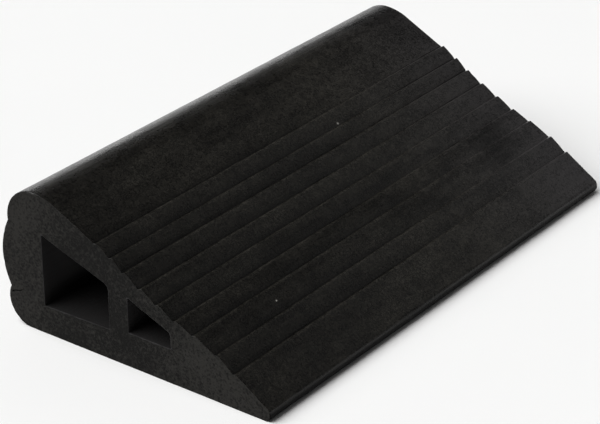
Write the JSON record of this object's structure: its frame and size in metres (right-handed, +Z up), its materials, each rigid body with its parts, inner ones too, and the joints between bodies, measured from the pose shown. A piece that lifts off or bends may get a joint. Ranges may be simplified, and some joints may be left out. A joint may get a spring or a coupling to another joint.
{
  "type": "cable protector ramp",
  "caption": "One-piece extruded rubber ramp section with a rounded ridge, a stepped slope, a rounded toe and open cable channels running through it from end to end.",
  "frame": {"origin": "centre of the footprint, on the surface that the ramp stands on", "axes": "+X across the ramp from its back to its toe, +Y along the extrusion and its channels, +Z up"},
  "size_m": [0.341, 0.61, 0.1575],
  "materials": {
    "rubber": "matte black extruded skin with a faint sheen; the cut ends are duller and a little greyer"
  },
  "bodies": {
    "root": {"ramp_section": "rubber"}
  },
  "joints": []
}
